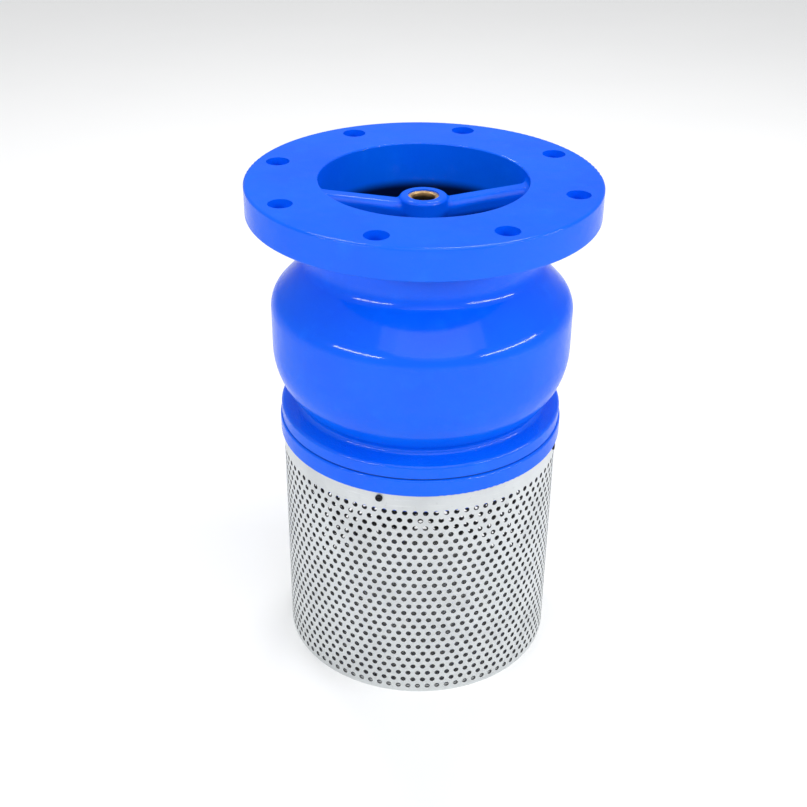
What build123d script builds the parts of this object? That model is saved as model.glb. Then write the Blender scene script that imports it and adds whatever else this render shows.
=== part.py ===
from build123d import *
import math
import os

os.makedirs("parts", exist_ok=True)

# Spring-loaded foot valve with a basket strainer. Millimetres, +Z up, axis on Z.
# The origin is the centre of the outlet flange face, so every level is zero or below.

# ---------------------------------------------------------------- driving sizes
# outlet flange
flange_dia = 340.0
flange_thick = 31.0
flange_edge = 2.5
bolt_circle_dia = 295.0
bolt_count = 8
bolt_hole_dia = 23.0
bore_dia = 200.0
bore_edge = 1.2

# body casting
body_length = 246.0
neck_wall = 12.0
neck_fillet = 9.0
bulge_dia = 298.8
bulge_wall = 11.0
shoulder_level = -119.0
shoulder_slope = 47.0
shoulder_round = 24.0
shoulder_hollow = 20.0
throat_fillet = 11.0
belly_height = 77.5
belly_round = 75.0
waist_wall = 13.3
waist_fillet = 5.0
rim_height = 12.5
rim_round = 4.0

# bridge and guide hub
hub_wall = 8.5
hub_top = -17.0
hub_height = 45.0
hub_round = 3.5
arm_width = 22.0
arm_height = 19.0
arm_round = 7.0
arm_step = 4.0
arm_top_at_wall = -9.0
arm_bite = 5.0
arm_wall_fillet = 6.0
arm_hub_fillet = 4.0

# stem
stem_dia = 22.0
stem_top = -26.0
stem_bevel = 1.5
stem_thread_dia = 20.0
stem_journal_dia = 16.0
centre_drill_dia = 5.0
stop_step = 4.0
collar_step = 3.0
collar_height = 7.0
lift = 48.0
stop_gap = 0.3
journal_reserve = 18.0

# disc, seal and their fastenings
disc_dia = 206.0
disc_height = 38.0
disc_rim_height = 12.0
disc_rise = 13.0
disc_hub_margin = 1.5
disc_lip = 1.0
disc_web_fillet = 6.5
seal_rim = 2.0
seal_face_width = 15.0
seal_tail_width = 6.0
seal_depth = 5.0
seal_stand = 4.0
retainer_thick = 5.0
retainer_screw_count = 6
retainer_screw_dia = 6.0
retainer_screw_inset = 20.0
thread_relief = 2.0
socket_share = 0.43
slot_share = 0.125
nut_flats_share = 1.5
nut_height_share = 0.8
disc_washer_dia = 38.0
disc_washer_thick = 3.0
pin_wire_dia = 3.6
pin_drop = 3.8
pin_end_land = 3.2
pin_reach_past_stem = 1.0

# guides and spring
bush_wall = 4.0
upper_bush_drop = 8.0
bush_recess = 1.5
bush_bevel = 1.0
guide_clearance = 0.05
circlip_thick = 1.6
circlip_width = 4.0
circlip_groove = 1.1
spring_dia = 52.0
spring_wire_dia = 4.0
spring_coils = 7.0
spring_seat_overhang = 6.5
spring_seat_thick = 3.0
spring_seat_bevel = 0.5
spring_cup_thick = 4.0
spring_cup_lip = 5.0
spring_cup_wall = 2.0
loose_clearance = 0.5

# seat ring and spider
seat_height = 32.0
seat_play = 4.0
seat_flange_height = 12.5
seat_bevel = 2.0
seat_land_margin = 1.0
seat_shoulder = 3.0
seat_clearance = 0.2
upstand_clearance = 1.0
waist_clearance = 5.0
counterbore_step = 6.0
gasket_thick = 1.5
spider_hub_wall = 7.0
spider_hub_stand = 2.0
spider_hub_height = 38.0
spider_arm_width = 12.0
spider_arm_height = 9.0
spider_arm_bite = 4.5
spider_arm_root = 2.0
lower_bush_wall = 5.0
lower_bush_stand = 1.0

# clamp ring
ring_thick = 18.2
ring_overhang = 1.5
ring_round = 2.0
ring_grip = 9.8
spigot_depth = 20.0
spigot_wall = 7.4
rim_land = 19.0
clamp_screw_count = 8
clamp_screw_dia = 8.0
clamp_head_dia = 13.0
clamp_head_height = 8.0
clamp_washer_thick = 2.0
clamp_thread_depth = 10.0
clamp_land = 10.0
drill_point = 1.0

# strainer
strainer_length = 247.3
sheet_thick = 1.6
spigot_inset = 4.6
perforation_dia = 10.0
perforation_pitch = 20.0
perforation_margin = 25.3
base_lip = 7.0
strainer_screw_count = 4
strainer_screw_dia = 4.0
strainer_head_dia = 7.0
strainer_head_height = 1.8
strainer_screw_drop = 6.5
strainer_screw_phase = -22.5
cutter_overrun = 1.0
edge_tolerance = 0.05

# ---------------------------------------------------------------- derived sizes
flange_r = flange_dia / 2
bore_r = bore_dia / 2
neck_r = bore_r + neck_wall
bulge_r = bulge_dia / 2
cavity_r = bulge_r - bulge_wall

stem_r = stem_dia / 2
thread_r = stem_thread_dia / 2
journal_r = stem_journal_dia / 2
stop_r = stem_r + stop_step
collar_r = stop_r + collar_step
upper_bush_r = stem_r + bush_wall
hub_r = upper_bush_r + hub_wall
circlip_r = upper_bush_r + circlip_width
spring_seat_r = spring_dia / 2 + spring_seat_overhang

disc_r = disc_dia / 2
disc_hub_r = spring_seat_r + disc_hub_margin
seal_outer_r = disc_r - seal_rim
seal_step_r = seal_outer_r - seal_face_width
seal_inner_r = seal_step_r - seal_tail_width
retainer_screw_r = seal_step_r - retainer_screw_inset

waist_bore_r = disc_r + waist_clearance
waist_r = waist_bore_r + waist_wall
counterbore_r = waist_bore_r + counterbore_step
seat_flange_r = counterbore_r - seat_clearance
seat_bore_r = seal_step_r + seat_play
lower_bush_r = journal_r + lower_bush_wall
spider_hub_r = lower_bush_r + spider_hub_wall

clamp_circle_r = counterbore_r + clamp_land
rim_r = clamp_circle_r + rim_land
ring_r = rim_r + ring_overhang
ring_bore_r = seat_flange_r - ring_grip
shell_inner_r = ring_r - spigot_inset
shell_r = shell_inner_r + sheet_thick
spigot_inner_r = shell_inner_r - spigot_wall

# levels, from the flange face down
hub_bottom = hub_top - hub_height
arm_top_at_hub = hub_top - arm_step
arm_slope = (arm_top_at_wall - arm_top_at_hub) / (bore_r + arm_bite - hub_r)
arm_top_at_axis = arm_top_at_hub - arm_slope * hub_r
upper_bush_top = hub_top - bush_recess
upper_bush_bottom = hub_bottom - upper_bush_drop
spring_top = hub_bottom - spring_seat_thick
body_bottom = -body_length
belly_level = body_bottom + belly_height
counterbore_top = body_bottom + seat_flange_height + gasket_thick
seat_level = body_bottom + seat_height
disc_under = seat_level + seal_stand
disc_rim_top = disc_under - disc_lip + disc_rim_height
disc_hub_top = disc_under + disc_height
cup_top = disc_hub_top + spring_cup_thick
stop_top = upper_bush_bottom - lift - stop_gap
retainer_bottom = disc_under - retainer_thick
washer_bottom = retainer_bottom - disc_washer_thick
nut_bottom = washer_bottom - nut_height_share * stem_thread_dia
pin_level = nut_bottom - pin_drop
thread_end = pin_level - pin_end_land
spider_hub_top = body_bottom + spider_hub_stand
spider_hub_bottom = spider_hub_top - spider_hub_height
stem_bottom = spider_hub_top - journal_reserve - lift
ring_top = body_bottom - gasket_thick
ring_bottom = ring_top - ring_thick
spigot_bottom = ring_bottom - spigot_depth
shell_bottom = ring_bottom - strainer_length
strainer_screw_level = ring_bottom - strainer_screw_drop


def arc_points(centre, radius, start, end):
    """Start, middle and end of an arc about a centre, angles in degrees."""
    angles = [math.radians(a) for a in (start, (start + end) / 2, end)]
    return [(centre[0] + radius * math.cos(a), centre[1] + radius * math.sin(a)) for a in angles]


def ring_places(count, radius, phase=0.0):
    """Points spaced evenly on a circle about the axis."""
    angles = [math.radians(phase + 360.0 * i / count) for i in range(count)]
    return [(radius * math.cos(a), radius * math.sin(a)) for a in angles]


def on_arm(edge, radius):
    """Whether an edge runs round an arm of the bridge at this distance from the axis."""
    points = [edge @ share for share in (0, 0.5, 1)]
    return all(
        math.isclose(math.hypot(p.X, p.Y), radius, abs_tol=edge_tolerance)
        and abs(p.Y) < arm_width / 2 + edge_tolerance
        for p in points
    )


def radial_plane(angle, radius, level):
    """A plane whose normal points outward from the axis."""
    a = math.radians(angle)
    out = (math.cos(a), math.sin(a), 0)
    return Plane(
        origin=(radius * out[0], radius * out[1], level),
        x_dir=(-out[1], out[0], 0),
        z_dir=out,
    )


# ---------------------------------------------------------------- valve body
# The shoulder is a cone between neck and bulge, hollow above and round below. The throat
# inside follows it at the bulge's wall.
slope_tan = math.tan(math.radians(shoulder_slope))
slope_cos = math.cos(math.radians(shoulder_slope))
neck_foot = shoulder_level + (bulge_r - neck_r) * slope_tan
throat_foot = shoulder_level + bulge_wall * slope_tan - bulge_wall / slope_cos
throat_level = throat_foot + (cavity_r - bore_r) * slope_tan
belly_centre = (bulge_r - belly_round, belly_level)
waist_angle = -math.degrees(math.acos((waist_r - belly_centre[0]) / belly_round))
throat_end_angle = -math.degrees(
    math.acos((waist_bore_r - belly_centre[0]) / (belly_round - bulge_wall))
)
waist_point = arc_points(belly_centre, belly_round, 0, waist_angle)[2]
throat_point = arc_points(belly_centre, belly_round - bulge_wall, 0, throat_end_angle)[2]

with BuildPart() as valve_body:
    with BuildSketch(Plane.YZ) as body_section:
        with BuildLine():
            Polyline(
                (bore_r, 0),
                (flange_r, 0),
                (flange_r, -flange_thick),
                (neck_r, -flange_thick),
                (neck_r, neck_foot),
                (bulge_r, shoulder_level),
                (bulge_r, belly_level),
            )
            ThreePointArc(*arc_points(belly_centre, belly_round, 0, waist_angle))
            Polyline(
                waist_point,
                (rim_r, body_bottom + rim_height),
                (rim_r, body_bottom),
                (counterbore_r, body_bottom),
                (counterbore_r, counterbore_top),
                (waist_bore_r, counterbore_top),
                throat_point,
            )
            ThreePointArc(
                *arc_points(belly_centre, belly_round - bulge_wall, throat_end_angle, 0)
            )
            Polyline(
                (cavity_r, belly_level),
                (cavity_r, throat_foot),
                (bore_r, throat_level),
                (bore_r, 0),
            )
        make_face()
        rounds = (
            ((flange_r, 0), flange_edge),
            ((flange_r, -flange_thick), flange_edge),
            ((neck_r, -flange_thick), neck_fillet),
            ((neck_r, neck_foot), shoulder_hollow),
            ((bulge_r, shoulder_level), shoulder_round),
            (waist_point, waist_fillet),
            ((rim_r, body_bottom + rim_height), rim_round),
            ((cavity_r, throat_foot), throat_fillet),
            ((bore_r, throat_level), throat_fillet),
            ((bore_r, 0), bore_edge),
        )
        for corner, radius in rounds:
            fillet(body_section.vertices().sort_by_distance((*corner, 0))[0], radius)
    revolve(axis=Axis.Z)
    # two cast arms carry the hub across the bore
    for side in (1, -1):
        with BuildSketch(Plane.YZ):
            with Locations((0, arm_top_at_axis - arm_height / 2)):
                RectangleRounded(arm_width, arm_height, arm_round)
        with BuildSketch(Plane.YZ.offset(side * (bore_r + arm_bite))):
            with Locations((0, arm_top_at_wall - arm_height / 2)):
                RectangleRounded(arm_width, arm_height, arm_round)
        loft()
    with BuildSketch(Plane.YZ) as hub_section:
        with Locations((hub_r / 2, hub_top - hub_height / 2)):
            Rectangle(hub_r, hub_height)
        for level in (hub_top, hub_bottom):
            corner = (hub_r, level, 0)
            fillet(hub_section.vertices().sort_by_distance(corner)[0], hub_round)
    revolve(axis=Axis.Z)
    fillet([e for e in valve_body.edges() if on_arm(e, bore_r)], arm_wall_fillet)
    fillet([e for e in valve_body.edges() if on_arm(e, hub_r)], arm_hub_fillet)
    with BuildSketch(Plane.XY.offset(hub_bottom)):
        Circle(upper_bush_r)
    extrude(amount=hub_height, mode=Mode.SUBTRACT)
    # flange bolt holes straddle the bridge
    with BuildSketch(Plane.XY):
        with Locations(ring_places(bolt_count, bolt_circle_dia / 2, 180.0 / bolt_count)):
            Circle(bolt_hole_dia / 2)
    extrude(amount=-flange_thick, mode=Mode.SUBTRACT)
    # tapped holes for the clamp screws
    with BuildSketch(Plane.XY.offset(body_bottom)):
        with Locations(ring_places(clamp_screw_count, clamp_circle_r)):
            Circle(clamp_screw_dia / 2)
    extrude(amount=clamp_thread_depth, mode=Mode.SUBTRACT)
valve_body.part.label = "valve_body"
export_step(valve_body.part, "parts/valve_body.step")

# ---------------------------------------------------------------- upper guide
groove_r = upper_bush_r - circlip_groove
circlip_bottom = spring_top - circlip_thick
with BuildPart() as upper_bush:
    with BuildSketch(Plane.XZ):
        with BuildLine():
            Polyline(
                (stem_r + guide_clearance, upper_bush_top - bush_bevel),
                (stem_r + guide_clearance + bush_bevel, upper_bush_top),
                (upper_bush_r, upper_bush_top),
                (upper_bush_r, spring_top),
                (groove_r, spring_top),
                (groove_r, circlip_bottom),
                (upper_bush_r, circlip_bottom),
                (upper_bush_r, upper_bush_bottom),
                (stem_r + guide_clearance, upper_bush_bottom),
                close=True,
            )
        make_face()
    revolve(axis=Axis.Z)
upper_bush.part.label = "upper_bush"
export_step(upper_bush.part, "parts/upper_bush.step")

with BuildPart() as upper_spring_seat:
    with BuildSketch(Plane.XY.offset(spring_top)):
        Circle(spring_seat_r)
        Circle(upper_bush_r, mode=Mode.SUBTRACT)
    extrude(amount=spring_seat_thick)
    seat_edges = upper_spring_seat.edges().filter_by(GeomType.CIRCLE)
    chamfer(seat_edges.sort_by(SortBy.RADIUS)[-2:], spring_seat_bevel)
upper_spring_seat.part.label = "upper_spring_seat"
export_step(upper_spring_seat.part, "parts/upper_spring_seat.step")

# open ring in the bush groove
with BuildPart() as bush_circlip:
    with BuildSketch(Plane.XY.offset(circlip_bottom)):
        Circle(circlip_r)
        Circle(groove_r, mode=Mode.SUBTRACT)
        with Locations((0, circlip_r)):
            Rectangle(circlip_r / 3, circlip_r, mode=Mode.SUBTRACT)
    extrude(amount=circlip_thick)
bush_circlip.part.label = "bush_circlip"
export_step(bush_circlip.part, "parts/bush_circlip.step")

# ---------------------------------------------------------------- closing spring
# The helix runs between the two seats; both ends are cut flat like ground ends.
with BuildPart() as closing_spring:
    with BuildLine() as coil:
        Helix(
            pitch=(spring_top - cup_top) / spring_coils,
            height=spring_top - cup_top,
            radius=spring_dia / 2,
            center=(0, 0, cup_top),
        )
    with BuildSketch(Plane(origin=coil.line @ 0, z_dir=coil.line % 0)):
        Circle(spring_wire_dia / 2)
    sweep(path=coil.line, is_frenet=True)
    with BuildSketch(Plane.XY.offset(cup_top)):
        Circle(spring_dia)
    extrude(amount=spring_top - cup_top, mode=Mode.INTERSECT)
closing_spring.part.label = "closing_spring"
export_step(closing_spring.part, "parts/closing_spring.step")

# dished washer that slides with the disc and centres on the stem collar
with BuildPart() as lower_spring_seat:
    with BuildSketch(Plane.XZ):
        with BuildLine():
            Polyline(
                (collar_r + loose_clearance, disc_hub_top),
                (spring_seat_r, disc_hub_top),
                (spring_seat_r, cup_top + spring_cup_lip),
                (spring_seat_r - spring_cup_wall, cup_top + spring_cup_lip),
                (spring_seat_r - spring_cup_wall, cup_top),
                (collar_r + loose_clearance, cup_top),
                close=True,
            )
        make_face()
    revolve(axis=Axis.Z)
lower_spring_seat.part.label = "lower_spring_seat"
export_step(lower_spring_seat.part, "parts/lower_spring_seat.step")

# ---------------------------------------------------------------- stem
with BuildPart() as stem:
    with BuildSketch(Plane.XZ):
        with BuildLine():
            Polyline(
                (0, stem_top),
                (stem_r - stem_bevel, stem_top),
                (stem_r, stem_top - stem_bevel),
                (stem_r, stop_top),
                (stop_r, stop_top),
                (stop_r, disc_hub_top + collar_height),
                (collar_r, disc_hub_top + collar_height),
                (collar_r, disc_hub_top),
                (thread_r, disc_hub_top),
                (thread_r, thread_end),
                (journal_r, thread_end),
                (journal_r, stem_bottom + stem_bevel),
                (journal_r - stem_bevel, stem_bottom),
                (0, stem_bottom),
                close=True,
            )
        make_face()
    revolve(axis=Axis.Z)
    with BuildSketch(Plane.XY.offset(stem_top)):
        Circle(centre_drill_dia / 2)
    extrude(amount=-centre_drill_dia, mode=Mode.SUBTRACT)
    # cross hole for the split pin
    with BuildSketch(Plane.XZ):
        with Locations((0, pin_level)):
            Circle(pin_wire_dia / 2)
    extrude(amount=stem_dia, both=True, mode=Mode.SUBTRACT)
stem.part.label = "stem"
export_step(stem.part, "parts/stem.step")

# ---------------------------------------------------------------- disc
with BuildPart() as disc:
    with BuildSketch(Plane.XZ) as disc_section:
        with BuildLine():
            Polyline(
                (thread_r, disc_hub_top),
                (disc_hub_r, disc_hub_top),
                (disc_hub_r, disc_rim_top + disc_rise),
                (disc_r, disc_rim_top),
                (disc_r, disc_under - disc_lip),
                (seal_outer_r, disc_under - disc_lip),
                (seal_outer_r, disc_under + seal_depth),
                (seal_inner_r, disc_under + seal_depth),
                (seal_inner_r, disc_under),
                (thread_r, disc_under),
                close=True,
            )
        make_face()
        web_corner = (disc_hub_r, disc_rim_top + disc_rise, 0)
        fillet(disc_section.vertices().sort_by_distance(web_corner)[0], disc_web_fillet)
    revolve(axis=Axis.Z)
    with BuildSketch(Plane.XY.offset(disc_under)):
        with Locations(ring_places(retainer_screw_count, retainer_screw_r)):
            Circle(retainer_screw_dia / 2)
    extrude(amount=disc_rim_height, mode=Mode.SUBTRACT)
disc.part.label = "disc"
export_step(disc.part, "parts/disc.step")

with BuildPart() as seal_ring:
    with BuildSketch(Plane.XZ):
        with BuildLine():
            Polyline(
                (seal_inner_r, disc_under + seal_depth),
                (seal_outer_r, disc_under + seal_depth),
                (seal_outer_r, seat_level),
                (seal_step_r, seat_level),
                (seal_step_r, disc_under),
                (seal_inner_r, disc_under),
                close=True,
            )
        make_face()
    revolve(axis=Axis.Z)
seal_ring.part.label = "seal_ring"
export_step(seal_ring.part, "parts/seal_ring.step")

screw_sink = retainer_screw_dia / 2
with BuildPart() as seal_retainer:
    with BuildSketch(Plane.XY.offset(retainer_bottom)):
        Circle(seal_step_r)
        Circle(thread_r, mode=Mode.SUBTRACT)
        with Locations(ring_places(retainer_screw_count, retainer_screw_r)):
            Circle(retainer_screw_dia / 2, mode=Mode.SUBTRACT)
    extrude(amount=retainer_thick)
    with Locations(
        *[
            (x, y, retainer_bottom + screw_sink / 2)
            for x, y in ring_places(retainer_screw_count, retainer_screw_r)
        ]
    ):
        Cone(retainer_screw_dia, retainer_screw_dia / 2, screw_sink, mode=Mode.SUBTRACT)
seal_retainer.part.label = "seal_retainer"
export_step(seal_retainer.part, "parts/seal_retainer.step")

with BuildPart() as retainer_screws:
    with BuildSketch(Plane.XY.offset(retainer_bottom + screw_sink)):
        with Locations(ring_places(retainer_screw_count, retainer_screw_r)):
            Circle(retainer_screw_dia / 2)
    extrude(amount=retainer_thick - screw_sink + disc_rim_height - thread_relief)
    with Locations(
        *[
            (x, y, retainer_bottom + screw_sink / 2)
            for x, y in ring_places(retainer_screw_count, retainer_screw_r)
        ]
    ):
        Cone(retainer_screw_dia, retainer_screw_dia / 2, screw_sink)
    with BuildSketch(Plane.XY.offset(retainer_bottom)):
        with Locations(ring_places(retainer_screw_count, retainer_screw_r)):
            RegularPolygon(retainer_screw_dia * socket_share, 6)
    extrude(amount=screw_sink, mode=Mode.SUBTRACT)
retainer_screws.part.label = "retainer_screws"
export_step(retainer_screws.part, "parts/retainer_screws.step")

with BuildPart() as disc_washer:
    with BuildSketch(Plane.XY.offset(washer_bottom)):
        Circle(disc_washer_dia / 2)
        Circle(thread_r, mode=Mode.SUBTRACT)
    extrude(amount=disc_washer_thick)
disc_washer.part.label = "disc_washer"
export_step(disc_washer.part, "parts/disc_washer.step")

nut_flat_r = nut_flats_share * thread_r
nut_corner_r = nut_flat_r / math.cos(math.radians(30))
nut_bevel = (nut_corner_r - nut_flat_r) * math.tan(math.radians(30))
with BuildPart() as stem_nut:
    with BuildSketch(Plane.XY.offset(nut_bottom)):
        RegularPolygon(nut_flat_r, 6, major_radius=False)
        Circle(thread_r, mode=Mode.SUBTRACT)
    extrude(amount=washer_bottom - nut_bottom)
    # the 30 degree chamfer on both ends of the hexagon
    with BuildSketch(Plane.XZ):
        with BuildLine():
            Polyline(
                (0, nut_bottom),
                (nut_flat_r, nut_bottom),
                (nut_corner_r, nut_bottom + nut_bevel),
                (nut_corner_r, washer_bottom - nut_bevel),
                (nut_flat_r, washer_bottom),
                (0, washer_bottom),
                close=True,
            )
        make_face()
    revolve(axis=Axis.Z, mode=Mode.INTERSECT)
stem_nut.part.label = "stem_nut"
export_step(stem_nut.part, "parts/stem_nut.step")

# split pin: shank through the stem, an eye at one end, two legs turned aside
pin_reach = thread_r + pin_reach_past_stem
pin_eye_r = 0.55 * pin_wire_dia
pin_leg_r = pin_wire_dia / 4
with BuildPart() as split_pin:
    with BuildSketch(Plane.XZ.offset(pin_reach)):
        with Locations((0, pin_level)):
            Circle(pin_wire_dia / 2)
    extrude(amount=-2 * pin_reach)
    with Locations((0, -pin_reach - pin_wire_dia / 2, pin_level)):
        Torus(pin_eye_r, pin_leg_r, rotation=(0, 90, 0))
    for side in (1, -1):
        with BuildSketch(Plane.YZ):
            with Locations((pin_reach, pin_level)):
                Circle(pin_leg_r)
        extrude(amount=side * 2 * pin_wire_dia)
split_pin.part.label = "split_pin"
export_step(split_pin.part, "parts/split_pin.step")

# ---------------------------------------------------------------- seat ring and spider
with BuildPart() as seat_ring:
    with BuildSketch(Plane.XZ):
        with BuildLine():
            Polyline(
                (seat_bore_r, body_bottom),
                (seat_flange_r, body_bottom),
                (seat_flange_r, body_bottom + seat_flange_height),
                (waist_bore_r - upstand_clearance, body_bottom + seat_flange_height),
                (waist_bore_r - upstand_clearance, seat_level - seat_shoulder),
                (seal_outer_r + seat_land_margin, seat_level),
                (seat_bore_r + seat_bevel, seat_level),
                (seat_bore_r, seat_level - seat_bevel),
                close=True,
            )
        make_face()
    revolve(axis=Axis.Z)
    with BuildSketch(Plane.XY.offset(body_bottom)):
        for turn in (0, 90):
            Rectangle(2 * (seat_bore_r + spider_arm_bite), spider_arm_width, rotation=turn)
        Circle(spider_hub_r - spider_arm_root, mode=Mode.SUBTRACT)
    extrude(amount=spider_arm_height)
    with BuildSketch(Plane.XY.offset(spider_hub_bottom)):
        Circle(spider_hub_r)
    extrude(amount=spider_hub_height)
    with BuildSketch(Plane.XY.offset(spider_hub_bottom)):
        Circle(lower_bush_r)
    extrude(amount=spider_hub_height, mode=Mode.SUBTRACT)
seat_ring.part.label = "seat_ring"
export_step(seat_ring.part, "parts/seat_ring.step")

with BuildPart() as seat_gasket:
    with BuildSketch(Plane.XY.offset(counterbore_top - gasket_thick)):
        Circle(seat_flange_r)
        Circle(waist_bore_r, mode=Mode.SUBTRACT)
    extrude(amount=gasket_thick)
seat_gasket.part.label = "seat_gasket"
export_step(seat_gasket.part, "parts/seat_gasket.step")

with BuildPart() as lower_bush:
    with BuildSketch(Plane.XY.offset(spider_hub_bottom - lower_bush_stand)):
        Circle(lower_bush_r)
        Circle(journal_r + guide_clearance, mode=Mode.SUBTRACT)
    extrude(amount=spider_hub_height + 2 * lower_bush_stand)
lower_bush.part.label = "lower_bush"
export_step(lower_bush.part, "parts/lower_bush.step")

# ---------------------------------------------------------------- clamp ring
screw_hole_r = clamp_screw_dia / 2 + loose_clearance
with BuildPart() as ring_gasket:
    with BuildSketch(Plane.XY.offset(ring_top)):
        Circle(rim_r - ring_overhang)
        Circle(ring_bore_r + ring_overhang, mode=Mode.SUBTRACT)
        with Locations(ring_places(clamp_screw_count, clamp_circle_r)):
            Circle(screw_hole_r, mode=Mode.SUBTRACT)
    extrude(amount=gasket_thick)
ring_gasket.part.label = "ring_gasket"
export_step(ring_gasket.part, "parts/ring_gasket.step")

with BuildPart() as clamp_ring:
    with BuildSketch(Plane.XZ) as ring_section:
        with BuildLine():
            Polyline(
                (ring_bore_r, ring_top),
                (ring_r, ring_top),
                (ring_r, ring_bottom),
                (shell_inner_r, ring_bottom),
                (shell_inner_r, spigot_bottom),
                (spigot_inner_r, spigot_bottom),
                (spigot_inner_r, ring_bottom),
                (ring_bore_r, ring_bottom),
                close=True,
            )
        make_face()
        for corner in ((ring_r, ring_top), (ring_r, ring_bottom)):
            fillet(ring_section.vertices().sort_by_distance((*corner, 0))[0], ring_round)
    revolve(axis=Axis.Z)
    with BuildSketch(Plane.XY.offset(ring_bottom)):
        with Locations(ring_places(clamp_screw_count, clamp_circle_r)):
            Circle(screw_hole_r)
    extrude(amount=ring_thick, mode=Mode.SUBTRACT)
    for i in range(strainer_screw_count):
        angle = strainer_screw_phase + 360.0 * i / strainer_screw_count
        with BuildSketch(radial_plane(angle, spigot_inner_r - cutter_overrun, strainer_screw_level)):
            Circle(strainer_screw_dia / 2)
        extrude(amount=spigot_wall + 2 * cutter_overrun, mode=Mode.SUBTRACT)
clamp_ring.part.label = "clamp_ring"
export_step(clamp_ring.part, "parts/clamp_ring.step")

with BuildPart() as clamp_washers:
    with BuildSketch(Plane.XY.offset(ring_bottom - clamp_washer_thick)):
        with Locations(ring_places(clamp_screw_count, clamp_circle_r)):
            Circle(clamp_head_dia / 2)
            Circle(clamp_screw_dia / 2, mode=Mode.SUBTRACT)
    extrude(amount=clamp_washer_thick)
clamp_washers.part.label = "clamp_washers"
export_step(clamp_washers.part, "parts/clamp_washers.step")

head_top = ring_bottom - clamp_washer_thick
with BuildPart() as clamp_screws:
    with BuildSketch(Plane.XY.offset(head_top)):
        with Locations(ring_places(clamp_screw_count, clamp_circle_r)):
            Circle(clamp_screw_dia / 2)
    extrude(amount=body_bottom + clamp_thread_depth - drill_point - head_top)
    with BuildSketch(Plane.XY.offset(head_top - clamp_head_height)):
        with Locations(ring_places(clamp_screw_count, clamp_circle_r)):
            Circle(clamp_head_dia / 2)
    extrude(amount=clamp_head_height)
    with BuildSketch(Plane.XY.offset(head_top - clamp_head_height)):
        with Locations(ring_places(clamp_screw_count, clamp_circle_r)):
            RegularPolygon(clamp_screw_dia * socket_share, 6)
    extrude(amount=clamp_head_height / 2, mode=Mode.SUBTRACT)
clamp_screws.part.label = "clamp_screws"
export_step(clamp_screws.part, "parts/clamp_screws.step")

# ---------------------------------------------------------------- strainer
# Perforations sit in staggered rows at 60 degrees round the shell.
holes_around = round(2 * math.pi * shell_r / perforation_pitch)
row_step = perforation_pitch * math.sin(math.radians(60))
row_count = int((strainer_length - perforation_margin - base_lip) / row_step) + 1
with BuildPart() as strainer_shell:
    with BuildSketch(Plane.XY.offset(shell_bottom)):
        Circle(shell_r)
        Circle(shell_inner_r, mode=Mode.SUBTRACT)
    extrude(amount=strainer_length)
    for i in range(strainer_screw_count):
        angle = strainer_screw_phase + 360.0 * i / strainer_screw_count
        with BuildSketch(radial_plane(angle, shell_inner_r - cutter_overrun, strainer_screw_level)):
            Circle(strainer_screw_dia / 2)
        extrude(amount=sheet_thick + 2 * cutter_overrun, mode=Mode.SUBTRACT)
punches = []
for row in range(row_count):
    level = ring_bottom - perforation_margin - row * row_step
    for i in range(holes_around):
        angle = 360.0 * (i + 0.5 * (row % 2)) / holes_around
        place = radial_plane(angle, shell_r - sheet_thick / 2, level)
        punches.append(place * Cylinder(perforation_dia / 2, 4 * sheet_thick))
perforated = strainer_shell.part.cut(*punches)
perforated.label = "strainer_shell"
export_step(perforated, "parts/strainer_shell.step")

# bottom dish with a short turned-up lip inside the shell
with BuildPart() as strainer_base:
    with BuildSketch(Plane.XZ):
        with BuildLine():
            Polyline(
                (0, shell_bottom),
                (shell_inner_r, shell_bottom),
                (shell_inner_r, shell_bottom + base_lip),
                (shell_inner_r - sheet_thick, shell_bottom + base_lip),
                (shell_inner_r - sheet_thick, shell_bottom + sheet_thick),
                (0, shell_bottom + sheet_thick),
                close=True,
            )
        make_face()
    revolve(axis=Axis.Z)
    hole_reach = shell_inner_r - perforation_pitch / 2
    cells = int(shell_inner_r / row_step)
    grid = [
        (perforation_pitch * (i + 0.5 * (j % 2)), row_step * j)
        for j in range(-cells, cells + 1)
        for i in range(-cells - 1, cells + 2)
    ]
    with BuildSketch(Plane.XY.offset(shell_bottom)):
        with Locations([p for p in grid if math.hypot(*p) < hole_reach]):
            Circle(perforation_dia / 2)
    extrude(amount=sheet_thick, mode=Mode.SUBTRACT)
strainer_base.part.label = "strainer_base"
export_step(strainer_base.part, "parts/strainer_base.step")

with BuildPart() as strainer_screws:
    for i in range(strainer_screw_count):
        angle = strainer_screw_phase + 360.0 * i / strainer_screw_count
        with BuildSketch(radial_plane(angle, spigot_inner_r - cutter_overrun, strainer_screw_level)):
            Circle(strainer_screw_dia / 2)
        extrude(amount=spigot_wall + sheet_thick + cutter_overrun)
        with BuildSketch(radial_plane(angle, shell_r, strainer_screw_level)):
            Circle(strainer_head_dia / 2)
        extrude(amount=strainer_head_height)
        with BuildSketch(radial_plane(angle, shell_r + strainer_head_height, strainer_screw_level)):
            Rectangle(strainer_head_dia, strainer_head_dia * slot_share)
        extrude(amount=-strainer_head_height / 2, mode=Mode.SUBTRACT)
strainer_screws.part.label = "strainer_screws"
export_step(strainer_screws.part, "parts/strainer_screws.step")
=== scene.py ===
import math

import bmesh
import bpy
from mathutils import Matrix, Vector


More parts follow.
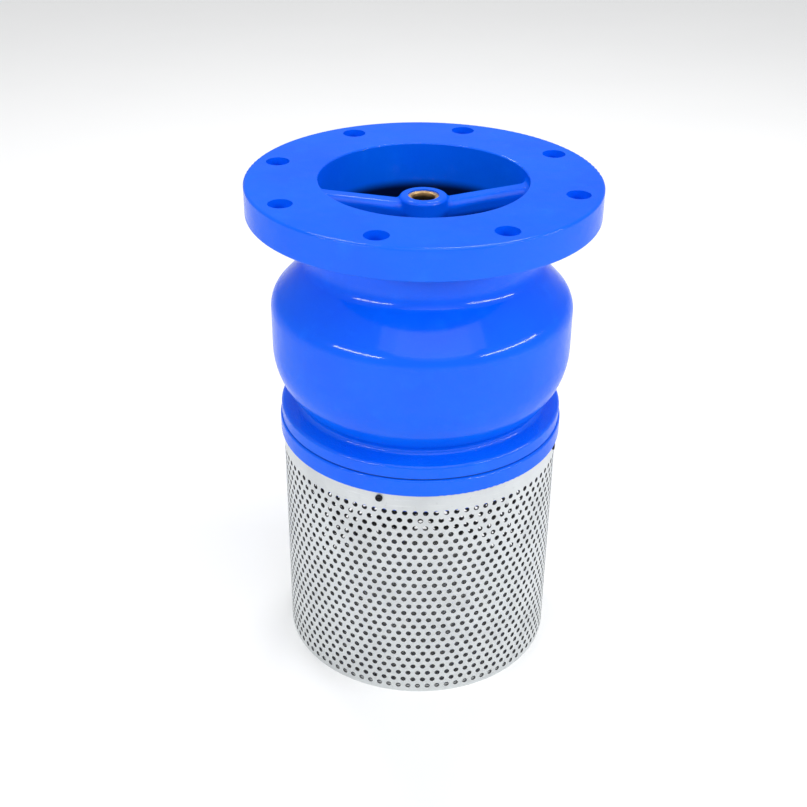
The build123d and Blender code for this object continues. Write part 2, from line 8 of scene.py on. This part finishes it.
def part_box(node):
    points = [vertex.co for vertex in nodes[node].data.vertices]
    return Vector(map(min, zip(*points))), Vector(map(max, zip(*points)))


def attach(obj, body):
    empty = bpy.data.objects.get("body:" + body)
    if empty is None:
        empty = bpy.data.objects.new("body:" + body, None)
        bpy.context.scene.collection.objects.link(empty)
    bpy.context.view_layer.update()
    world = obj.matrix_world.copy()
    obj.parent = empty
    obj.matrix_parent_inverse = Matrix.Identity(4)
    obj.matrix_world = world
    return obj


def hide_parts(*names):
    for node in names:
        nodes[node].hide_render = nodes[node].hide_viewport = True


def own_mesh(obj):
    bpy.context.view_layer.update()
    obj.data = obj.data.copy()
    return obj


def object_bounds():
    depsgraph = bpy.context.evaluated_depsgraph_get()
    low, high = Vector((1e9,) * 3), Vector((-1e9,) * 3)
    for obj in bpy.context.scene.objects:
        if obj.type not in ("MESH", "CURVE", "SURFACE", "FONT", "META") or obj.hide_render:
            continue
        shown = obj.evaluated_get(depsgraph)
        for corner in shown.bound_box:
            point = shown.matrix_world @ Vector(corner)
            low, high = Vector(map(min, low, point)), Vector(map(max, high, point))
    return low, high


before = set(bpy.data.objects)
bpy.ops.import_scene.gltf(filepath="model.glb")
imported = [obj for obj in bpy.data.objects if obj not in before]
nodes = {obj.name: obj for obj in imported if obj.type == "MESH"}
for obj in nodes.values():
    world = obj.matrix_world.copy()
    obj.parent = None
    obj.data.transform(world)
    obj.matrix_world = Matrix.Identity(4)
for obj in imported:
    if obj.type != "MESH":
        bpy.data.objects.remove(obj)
cad_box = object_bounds()

# ---------------------------------------------------------------- sizes, metres
shell_low, shell_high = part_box("strainer_shell")
shell_r = shell_high.x
shell_top = shell_high.z
shell_bottom = shell_low.z
sheet = 0.0016
hole_r = 0.0028
columns = 88
rows = 26
row_step = 0.00875
first_row_drop = 0.0208
hole_corners = 12
edge_crease = math.radians(30)
weld_distance = 1e-7


# ---------------------------------------------------------------- mesh helpers
def mesh_object(name, bm, body):
    """A mesh piece from bmesh data, smooth with creases, riding on a body."""
    bmesh.ops.remove_doubles(bm, verts=bm.verts, dist=weld_distance)
    bmesh.ops.recalc_face_normals(bm, faces=bm.faces)
    for face in bm.faces:
        face.smooth = True
    for edge in bm.edges:
        edge.smooth = len(edge.link_faces) == 2 and edge.calc_face_angle(0) < edge_crease
    mesh = bpy.data.meshes.new(name)
    bm.to_mesh(mesh)
    bm.free()
    piece = bpy.data.objects.new(name, mesh)
    bpy.context.scene.collection.objects.link(piece)
    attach(piece, body)
    return piece


def on_shell(angle, radius, level):
    return Vector((radius * math.cos(angle), radius * math.sin(angle), level))


# ---------------------------------------------------------------- perforated shell
# Each hole sits in a six-sided cell. Cells share their outline, counted in quarter pitches
# round the shell and in sixths of a row down it.
quarter = 2 * math.pi / (4 * columns)
sixth = row_step / 6
cell_outline = (
    (0, 4), (1, 3), (2, 2), (2, 0), (2, -2), (1, -3),
    (0, -4), (-1, -3), (-2, -2), (-2, 0), (-2, 2), (-1, 3),
)
seam_angle = math.pi / 2
seam_half_cells = 1.2


def build_shell():
    bm = bmesh.new()
    grid = {}

    def corner(side, q, s):
        key = (side, q % (4 * columns), s)
        if key not in grid:
            radius = shell_r - side * sheet
            level = shell_top - first_row_drop + s * sixth
            grid[key] = bm.verts.new(on_shell(seam_angle + q * quarter, radius, level))
        return grid[key]

    for row in range(rows):
        for column in range(columns):
            q0 = 4 * column + 2 * (row % 2)
            s0 = -6 * row
            outline = [
                [corner(side, q0 + dq, s0 + ds) for dq, ds in cell_outline] for side in (0, 1)
            ]
            off_seam = min(q0 % (4 * columns), -q0 % (4 * columns)) / 4
            if off_seam < seam_half_cells:
                for side in (0, 1):
                    bm.faces.new(outline[side]).material_index = side
                continue
            middle = seam_angle + q0 * quarter
            level = shell_top - first_row_drop + s0 * sixth
            rims = []
            for side in (0, 1):
                radius = shell_r - side * sheet
                rim = []
                for k in range(hole_corners):
                    turn = math.pi / 2 - k * 2 * math.pi / hole_corners
                    angle = middle + hole_r * math.cos(turn) / shell_r
                    rim.append(
                        bm.verts.new(on_shell(angle, radius, level + hole_r * math.sin(turn)))
                    )
                rims.append(rim)
            for k in range(hole_corners):
                n = (k + 1) % hole_corners
                for side in (0, 1):
                    face = bm.faces.new(
                        (outline[side][k], outline[side][n], rims[side][n], rims[side][k])
                    )
                    face.material_index = side
                bm.faces.new((rims[0][k], rims[0][n], rims[1][n], rims[1][k])).material_index = 1
    # plain bands above the first row and below the last; step is the cells' zigzag edge
    last = rows - 1
    step = (4, 3, 2, 3)
    for top in (True, False):
        row = 0 if top else last
        edge_level = shell_top if top else shell_bottom
        rim = []
        for side in (0, 1):
            ring = []
            for q in range(4 * columns):
                rise = step[(q - 2 * (row % 2)) % 4]
                s = -6 * row + (rise if top else -rise)
                angle = seam_angle + q * quarter
                ring.append((corner(side, q, s), bm.verts.new(
                    on_shell(angle, shell_r - side * sheet, edge_level)
                )))
            rim.append(ring)
            for q in range(4 * columns):
                a, b = ring[q], ring[(q + 1) % (4 * columns)]
                bm.faces.new((a[0], b[0], b[1], a[1])).material_index = side
        for q in range(4 * columns):
            n = (q + 1) % (4 * columns)
            bm.faces.new((rim[0][q][1], rim[0][n][1], rim[1][n][1], rim[1][q][1]))
    return bm


shell = mesh_object("strainer_sheet", build_shell(), "frame")
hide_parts("strainer_shell")

# lap strip over the back seam, with a row of spot welds
lap_half_width = 0.0085
lap_thick = 0.0011
weld_pitch = 0.0245
weld_r = 0.0026
weld_depth = 0.0005
lap_edge = 0.0004
lap_end_gap = 0.0015
lap_short = 0.002
lap_sink = 0.0002


def build_lap():
    bm = bmesh.new()
    across, down = 28, 400
    height = shell_top - shell_bottom - lap_short
    rows_of = []
    for side in (0, 1):
        table = []
        for j in range(down + 1):
            level = shell_top - lap_end_gap - height * j / down
            line = []
            for i in range(across + 1):
                u = lap_half_width * (2 * i / across - 1)
                v = (level - shell_bottom) % weld_pitch - weld_pitch / 2
                dent = weld_depth * math.exp(-((u * u + v * v) / weld_r**2) ** 2)
                slope = min(1.0, (lap_half_width - abs(u)) / lap_edge)
                face = shell_r + lap_thick * (0.4 + 0.6 * slope) - dent
                out = shell_r - lap_sink if side else face
                line.append(bm.verts.new(on_shell(seam_angle + u / shell_r, out, level)))
            table.append(line)
        rows_of.append(table)
        for j in range(down):
            for i in range(across):
                bm.faces.new(
                    (table[j][i], table[j][i + 1], table[j + 1][i + 1], table[j + 1][i])
                )
    front, back = rows_of
    for j in range(down):
        for i in (0, across):
            bm.faces.new((front[j][i], front[j + 1][i], back[j + 1][i], back[j][i]))
    for i in range(across):
        for j in (0, down):
            bm.faces.new((front[j][i], front[j][i + 1], back[j][i + 1], back[j][i]))
    return bm


lap = mesh_object("strainer_lap_seam", build_lap(), "frame")

# ---------------------------------------------------------------- perforated base
base_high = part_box("strainer_base")[1]
base_r = base_high.x
lip_top = base_high.z
bend = 0.0026
hole_pitch = 2 * math.pi * shell_r / columns
flat_r = base_r - sheet - bend
plain_edge = 0.006
base_corners = 180
bend_steps = 8


def build_base():
    flat = bpy.data.curves.new("base_flat", "CURVE")
    flat.dimensions = "2D"
    flat.fill_mode = "BOTH"
    flat.extrude = sheet / 2

    def loop(x, y, radius, count):
        spline = flat.splines.new("POLY")
        spline.points.add(count - 1)
        for k, point in enumerate(spline.points):
            a = 2 * math.pi * k / count
            point.co = (x + radius * math.cos(a), y + radius * math.sin(a), 0, 1)
        spline.use_cyclic_u = True

    loop(0, 0, flat_r, base_corners)
    reach = int(base_r / row_step) + 1
    for j in range(-reach, reach + 1):
        for i in range(-reach, reach + 1):
            x = hole_pitch * (i + 0.5 * (j % 2))
            y = row_step * j
            if math.hypot(x, y) < flat_r - plain_edge:
                loop(x, y, hole_r, hole_corners)
    holder = bpy.data.objects.new("base_flat", flat)
    bpy.context.scene.collection.objects.link(holder)
    bpy.context.view_layer.update()
    mesh = bpy.data.meshes.new_from_object(holder)
    mesh.transform(Matrix.Translation((0, 0, shell_bottom + sheet / 2)))
    bm = bmesh.new()
    bm.from_mesh(mesh)
    bpy.data.objects.remove(holder)
    bpy.data.curves.remove(flat)
    bpy.data.meshes.remove(mesh)
    # pressed bend and upright lip
    profile = [(flat_r, shell_bottom)]
    for k in range(bend_steps + 1):
        a = -math.pi / 2 + k * math.pi / (2 * bend_steps)
        profile.append(
            (
                base_r - bend - sheet + (bend + sheet) * math.cos(a),
                shell_bottom + bend + sheet + (bend + sheet) * math.sin(a),
            )
        )
    profile += [(base_r, lip_top), (base_r - sheet, lip_top)]
    for k in range(bend_steps + 1):
        a = -k * math.pi / (2 * bend_steps)
        profile.append(
            (
                base_r - bend - sheet + bend * math.cos(a),
                shell_bottom + bend + sheet + bend * math.sin(a),
            )
        )
    profile.append((flat_r, shell_bottom + sheet))
    rings = [
        [
            bm.verts.new(on_shell(2 * math.pi * k / base_corners, r, z))
            for k in range(base_corners)
        ]
        for r, z in profile
    ]
    for a, b in zip(rings, rings[1:]):
        for k in range(base_corners):
            n = (k + 1) % base_corners
            bm.faces.new((a[k], a[n], b[n], b[k]))
    return bm


base = mesh_object("strainer_bottom", build_base(), "frame")
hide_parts("strainer_base")

# ---------------------------------------------------------------- closing spring
# The spring's top end stays under the hub while the disc lifts, so the real coils close up; here
# they are a copy of the part riding on the frame and keep their shape.
coils = bpy.data.objects.new("spring_coils", nodes["closing_spring"].data.copy())
bpy.context.scene.collection.objects.link(coils)
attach(coils, "frame")
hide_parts("closing_spring")
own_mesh(coils)


# ---------------------------------------------------------------- materials
class Look:
    """A principled material with helpers that add procedural layers to it."""

    def __init__(self, name, color, metallic, roughness, **sockets):
        self.material = bpy.data.materials.new(name)
        self.material.use_nodes = True
        self.tree = self.material.node_tree
        self.tree.nodes.clear()
        self.output = self.add("ShaderNodeOutputMaterial")
        self.shader = self.add("ShaderNodeBsdfPrincipled")
        self.join(self.shader.outputs["BSDF"], self.output.inputs["Surface"])
        self.shader.inputs["Base Color"].default_value = (*color, 1)
        self.shader.inputs["Metallic"].default_value = metallic
        self.shader.inputs["Roughness"].default_value = roughness
        for key, value in sockets.items():
            self.shader.inputs[key.replace("_", " ")].default_value = value
        self.place = self.add("ShaderNodeTexCoord").outputs["Object"]
        self.color = None
        self.normal = None

    def add(self, kind, **settings):
        node = self.tree.nodes.new(kind)
        for key, value in settings.items():
            setattr(node, key, value)
        return node

    def join(self, source, target):
        self.tree.links.new(source, target)

    def stretched(self, scale):
        mapping = self.add("ShaderNodeMapping")
        mapping.inputs["Scale"].default_value = scale
        self.join(self.place, mapping.inputs["Vector"])
        return mapping.outputs["Vector"]

    def noise(self, scale, detail=2.0, roughness=0.5, stretch=None, distortion=0.0):
        node = self.add("ShaderNodeTexNoise")
        node.inputs["Scale"].default_value = scale
        node.inputs["Detail"].default_value = detail
        node.inputs["Roughness"].default_value = roughness
        node.inputs["Distortion"].default_value = distortion
        self.join(self.stretched(stretch) if stretch else self.place, node.inputs["Vector"])
        return node.outputs["Fac"]

    def cells(self, scale, feature="F1", stretch=None):
        node = self.add("ShaderNodeTexVoronoi", feature=feature)
        node.inputs["Scale"].default_value = scale
        self.join(self.stretched(stretch) if stretch else self.place, node.inputs["Vector"])
        return node.outputs["Distance"]

    def axis(self, name):
        split = self.add("ShaderNodeSeparateXYZ")
        self.join(self.place, split.inputs["Vector"])
        return split.outputs[name]

    def radius(self):
        flat = self.add("ShaderNodeVectorMath", operation="LENGTH")
        self.join(self.stretched((1, 1, 0)), flat.inputs[0])
        return flat.outputs["Value"]

    def math(self, operation, a, b=0.0, clamp=False):
        node = self.add("ShaderNodeMath", operation=operation, use_clamp=clamp)
        for socket, value in zip(node.inputs, (a, b)):
            if isinstance(value, (int, float)):
                socket.default_value = value
            else:
                self.join(value, socket)
        return node.outputs["Value"]

    def span(self, value, low, high, to_low=0.0, to_high=1.0, smooth=True):
        node = self.add("ShaderNodeMapRange")
        node.interpolation_type = "SMOOTHSTEP" if smooth else "LINEAR"
        node.clamp = True
        self.join(value, node.inputs["Value"])
        for key, number in (
            ("From Min", low), ("From Max", high), ("To Min", to_low), ("To Max", to_high),
        ):
            node.inputs[key].default_value = number
        return node.outputs["Result"]

    def rings(self, source, pitch):
        """Even grooves along a coordinate, from -1 to 1."""
        return self.math("SINE", self.math("MULTIPLY", source, 2 * math.pi / pitch))

    def tint(self, amount, color):
        mix = self.add("ShaderNodeMix", data_type="RGBA")
        if self.color is None:
            mix.inputs["A"].default_value = self.shader.inputs["Base Color"].default_value
        else:
            self.join(self.color, mix.inputs["A"])
        mix.inputs["B"].default_value = (*color, 1)
        self.join(amount, mix.inputs["Factor"])
        self.color = mix.outputs["Result"]

    def bump(self, height, distance, strength=1.0):
        node = self.add("ShaderNodeBump")
        node.inputs["Distance"].default_value = distance
        node.inputs["Strength"].default_value = strength
        self.join(height, node.inputs["Height"])
        if self.normal is not None:
            self.join(self.normal, node.inputs["Normal"])
        self.normal = node.outputs["Normal"]

    def rough(self, value, low, high, start=0.3, end=0.7):
        self.join(self.span(value, start, end, low, high), self.shader.inputs["Roughness"])

    def done(self):
        if self.color is not None:
            self.join(self.color, self.shader.inputs["Base Color"])
        if self.normal is not None:
            self.join(self.normal, self.shader.inputs["Normal"])
        return self.material


body_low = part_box("valve_body")[0].z
bush_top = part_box("upper_bush")[1].z
chamber_top = bush_top - 0.017


def epoxy():
    look = Look(
        "epoxy_blue", (0.0008, 0.122, 0.86), 0.0, 0.3,
        Coat_Weight=0.15, Coat_Roughness=0.09, Coat_IOR=2.2, Specular_IOR_Level=0.03,
    )
    broad = look.noise(9.0, 3.0, 0.55)
    patch = look.noise(38.0, 4.0, 0.6)
    fine = look.noise(420.0, 2.0, 0.5)
    look.tint(look.span(broad, 0.35, 0.75, 0.0, 0.5), (0.001, 0.082, 0.86))
    look.tint(look.span(patch, 0.52, 0.8, 0.0, 0.35), (0.004, 0.17, 0.97))
    # pinholes and dust nibs in the coating
    nibs = look.span(look.cells(190.0), 0.0, 0.11, 1.0, 0.0)
    rare = look.span(look.noise(55.0, 1.0), 0.6, 0.66)
    nibs = look.math("MULTIPLY", nibs, rare)
    look.tint(look.math("MULTIPLY", nibs, 0.5), (0.05, 0.22, 0.9))
    look.rough(patch, 0.13, 0.21)
    level = look.axis("Z")
    # painted shade: inward-facing chamber walls below the bridge are tinted near black, standing
    # in for the deep shadow under the bridge
    facing = look.add("ShaderNodeVectorMath", operation="DOT_PRODUCT")
    look.join(look.add("ShaderNodeNewGeometry").outputs["Normal"], facing.inputs[0])
    look.join(look.stretched((1, 1, 0)), facing.inputs[1])
    inward = look.span(facing.outputs["Value"], 0.002, -0.012)
    deep = look.span(level, chamber_top, chamber_top - 0.012)
    look.tint(look.math("MULTIPLY", inward, deep), (0.0006, 0.006, 0.04))
    # as-cast skin under the coating: coarser on the flare below the waist
    flare = look.math(
        "MULTIPLY",
        look.span(level, body_low + 0.009, body_low + 0.0125),
        look.span(level, body_low + 0.034, body_low + 0.022),
    )
    grain = look.noise(560.0, 5.0, 0.7)
    look.bump(look.noise(26.0, 2.0, 0.5), 0.0011)
    look.bump(fine, 0.00022, 0.55)
    coarse = look.math("ADD", flare, 0.16)
    look.bump(look.math("MULTIPLY", grain, coarse), 0.0011, 0.8)
    look.bump(nibs, 0.0002, 0.6)
    return look.done()


stem_r = 0.011


def bronze():
    look = Look("machined_bronze", (0.66, 0.44, 0.2), 1.0, 0.32)
    stain = look.noise(60.0, 5.0, 0.6)
    # painted shade: the bearing bores are darkened below their top edge, standing in for the
    # shade down the bore
    bore = look.span(look.radius(), stem_r + 0.0012, stem_r + 0.0006)
    below = look.span(look.axis("Z"), bush_top - 0.001, bush_top - 0.005)
    bore_shade = look.math("MULTIPLY", bore, below)
    look.tint(look.span(stain, 0.5, 0.72, 0.0, 0.6), (0.32, 0.17, 0.07))
    look.tint(look.span(look.noise(210.0, 3.0), 0.56, 0.75, 0.0, 0.4), (0.78, 0.6, 0.34))
    look.tint(bore_shade, (0.03, 0.022, 0.014))
    look.rough(stain, 0.22, 0.46)
    radius = look.radius()
    level = look.axis("Z")
    look.bump(look.rings(look.math("ADD", radius, level), 0.00052), 0.00003, 0.8)
    look.bump(look.noise(700.0, 3.0), 0.00008, 0.5)
    return look.done()


def stainless(name, color, low, high, pitch=0.00045):
    look = Look(name, color, 1.0, 0.3)
    smear = look.noise(45.0, 4.0, 0.6)
    look.tint(look.span(smear, 0.45, 0.75, 0.0, 0.45), tuple(c * 0.72 for c in color))
    look.tint(look.span(look.noise(320.0, 2.0), 0.6, 0.8, 0.0, 0.3), (0.8, 0.8, 0.8))
    look.rough(smear, low, high)
    look.bump(look.rings(look.math("ADD", look.radius(), look.axis("Z")), pitch), 0.00002, 0.8)
    look.bump(look.noise(900.0, 3.0), 0.00005, 0.5)
    return look.done()


def perforated():
    look = Look("perforated_sheet", (0.62, 0.645, 0.65), 0.55, 0.36)
    mottle = look.noise(22.0, 4.0, 0.6)
    streak = look.noise(40.0, 4.0, 0.6, stretch=(1, 1, 14))
    look.tint(look.span(mottle, 0.4, 0.75, 0.0, 0.4), (0.48, 0.5, 0.51))
    look.tint(look.span(streak, 0.52, 0.78, 0.0, 0.4), (0.78, 0.8, 0.8))
    look.tint(look.span(look.noise(260.0, 3.0), 0.62, 0.8, 0.0, 0.35), (0.36, 0.37, 0.38))
    look.rough(mottle, 0.28, 0.46)
    look.bump(look.noise(900.0, 3.0, 0.6, stretch=(1, 1, 0.12)), 0.00006, 0.5)
    look.bump(look.noise(14.0, 2.0), 0.0006, 0.6)
    return look.done()


# painted shade: the strainer sheet's inner faces and hole walls get a dark colour that stands in
# for the shade inside the basket
def sheet_inside_shade():
    look = Look("sheet_inside_shade", (0.1, 0.1, 0.105), 0.3, 0.7)
    mottle = look.noise(30.0, 4.0, 0.6)
    look.tint(look.span(mottle, 0.4, 0.75, 0.0, 0.5), (0.05, 0.05, 0.052))
    look.rough(mottle, 0.5, 0.75)
    look.bump(look.noise(700.0, 3.0), 0.00006, 0.5)
    return look.done()


def rubber(name, color):
    look = Look(name, color, 0.0, 0.7, Specular_IOR_Level=0.4)
    bloom = look.noise(70.0, 5.0, 0.6)
    look.tint(look.span(bloom, 0.5, 0.78, 0.0, 0.5), tuple(min(1.0, c * 3.2) for c in color))
    look.rough(bloom, 0.55, 0.82)
    look.bump(look.noise(1100.0, 3.0, 0.6), 0.00008, 0.6)
    look.bump(look.noise(60.0, 2.0), 0.0003, 0.4)
    return look.done()


def black_oxide():
    look = Look("black_oxide_steel", (0.018, 0.018, 0.02), 0.85, 0.42)
    wear = look.noise(420.0, 4.0, 0.65)
    look.tint(look.span(wear, 0.55, 0.75, 0.0, 0.5), (0.12, 0.12, 0.125))
    look.rough(wear, 0.34, 0.55)
    look.bump(look.noise(1400.0, 3.0), 0.00005, 0.6)
    return look.done()


blue = epoxy()
bearing = bronze()
turned = stainless("turned_stainless", (0.6, 0.61, 0.63), 0.2, 0.4)
pressed = stainless("pressed_stainless", (0.66, 0.67, 0.69), 0.26, 0.44, 0.0009)
drawn = stainless("drawn_wire", (0.52, 0.53, 0.55), 0.22, 0.36, 0.0003)
fastener = stainless("fastener_steel", (0.55, 0.56, 0.57), 0.25, 0.42, 0.0006)
mesh_sheet = perforated()
inside_shade_sheet = sheet_inside_shade()
epdm = rubber("moulded_epdm", (0.018, 0.018, 0.019))
gasket = rubber("cut_sheet_epdm", (0.03, 0.03, 0.031))
dark = black_oxide()

finishes = {
    "valve_body": blue,
    "clamp_ring": blue,
    "upper_bush": bearing,
    "lower_bush": bearing,
    "seat_ring": bearing,
    "disc": bearing,
    "stem": turned,
    "stem_nut": turned,
    "disc_washer": turned,
    "split_pin": drawn,
    "upper_spring_seat": pressed,
    "lower_spring_seat": pressed,
    "seal_retainer": pressed,
    "bush_circlip": drawn,
    "closing_spring": drawn,
    "retainer_screws": fastener,
    "clamp_screws": fastener,
    "clamp_washers": fastener,
    "strainer_screws": dark,
    "strainer_shell": mesh_sheet,
    "strainer_base": mesh_sheet,
    "seal_ring": epdm,
    "seat_gasket": gasket,
    "ring_gasket": gasket,
}
for name, finish in finishes.items():
    node = nodes[name]
    if not node.material_slots:
        node.data.materials.append(finish)
    for part_slot in node.material_slots:
        part_slot.material = finish
for piece in (shell, lap, base):
    piece.data.materials.append(mesh_sheet)
coils.data.materials.clear()
coils.data.materials.append(drawn)
# painted shade: inner faces and hole walls take the dark inside colour
shell.data.materials.append(inside_shade_sheet)

# ---------------------------------------------------------------- floor
low, high = (Vector(corner) for corner in cad_box)


def floor_material():
    look = Look("studio_floor", (0.93, 0.935, 0.94), 0.0, 0.75, Specular_IOR_Level=0.15)
    look.tint(look.span(look.noise(3.0, 3.0), 0.4, 0.7, 0.0, 0.2), (0.9, 0.905, 0.91))
    look.bump(look.noise(60.0, 3.0), 0.0004, 0.15)
    return look.done()


floor_size = 40.0
floor_mesh = bpy.data.meshes.new("floor")
half = floor_size / 2
floor_mesh.from_pydata(
    [(-half, -half, low.z), (half, -half, low.z), (half, half, low.z), (-half, half, low.z)],
    [],
    [(0, 1, 2, 3)],
)
floor = bpy.data.objects.new("floor", floor_mesh)
bpy.context.scene.collection.objects.link(floor)
floor_mesh.materials.append(floor_material())

# ---------------------------------------------------------------- light
world = bpy.data.worlds.new("studio")
bpy.context.scene.world = world
world.use_nodes = True
world.node_tree.nodes["Background"].inputs["Color"].default_value = (1.0, 1.0, 1.0, 1)
world.node_tree.nodes["Background"].inputs["Strength"].default_value = 0.42

aim = Vector((0, 0, (low.z + high.z) / 2))


def area_light(name, place, size, power, tint=(1, 1, 1)):
    lamp = bpy.data.lights.new(name, "AREA")
    lamp.shape = "RECTANGLE"
    lamp.size, lamp.size_y = size
    lamp.energy = power
    lamp.color = tint
    holder = bpy.data.objects.new(name, lamp)
    bpy.context.scene.collection.objects.link(holder)
    holder.location = aim + Vector(place)
    holder.rotation_euler = (-Vector(place)).to_track_quat("-Z", "Y").to_euler()


def studio_lamp(name, azimuth, elevation, distance, size, power):
    """A soft box at an azimuth from the camera's side of the object and an elevation."""
    a, e = math.radians(azimuth), math.radians(elevation)
    place = (
        distance * math.cos(e) * math.sin(a),
        -distance * math.cos(e) * math.cos(a),
        distance * math.sin(e),
    )
    area_light(name, place, size, power)


def sky_lamp(name, azimuth, elevation, spread, strength):
    """An even, distant light with a wide disc, so that the floor is lit alike everywhere."""
    lamp = bpy.data.lights.new(name, "SUN")
    lamp.energy = strength
    lamp.angle = math.radians(spread)
    holder = bpy.data.objects.new(name, lamp)
    bpy.context.scene.collection.objects.link(holder)
    a, e = math.radians(azimuth), math.radians(elevation)
    place = Vector((math.cos(e) * math.sin(a), -math.cos(e) * math.cos(a), math.sin(e)))
    holder.rotation_euler = (-place).to_track_quat("-Z", "Y").to_euler()


studio_lamp("front_left", -54, 27, 2.4, (1.5, 0.12), 18)
studio_lamp("front_right", 62, 27, 2.4, (2.0, 0.12), 24)
studio_lamp("back_left", -161, 55, 2.4, (0.6, 0.3), 10)
studio_lamp("back_right", 156, 55, 2.4, (0.8, 0.3), 13)
sky_lamp("overhead", 8, 66, 60, 0.8)
sky_lamp("front", 5, 48, 50, 0.25)

# ---------------------------------------------------------------- camera
camera_turn = math.radians(-6.1)
camera_tilt = 0.525214
camera_roll = 0.0089375
camera_place = Vector((-0.017347, -1.147743, 0.418685))
lens = 56.92

right = Vector((1, 0, 0))
ahead = Vector((0, math.cos(camera_tilt), -math.sin(camera_tilt)))
up = Vector((0, math.sin(camera_tilt), math.cos(camera_tilt)))
rolled_right = math.cos(camera_roll) * right + math.sin(camera_roll) * up
rolled_up = -math.sin(camera_roll) * right + math.cos(camera_roll) * up
axes = Matrix((rolled_right, rolled_up, -ahead)).transposed().to_4x4()
turn = Matrix.Rotation(camera_turn, 4, "Z")
camera_data = bpy.data.cameras.new("camera")
camera_data.lens = lens
camera_data.sensor_width = 36.0
camera_data.clip_end = 100.0
camera = bpy.data.objects.new("camera", camera_data)
bpy.context.scene.collection.objects.link(camera)
camera.matrix_world = turn @ Matrix.Translation(camera_place) @ axes
bpy.context.scene.camera = camera
bpy.context.scene.view_settings.view_transform = "Standard"
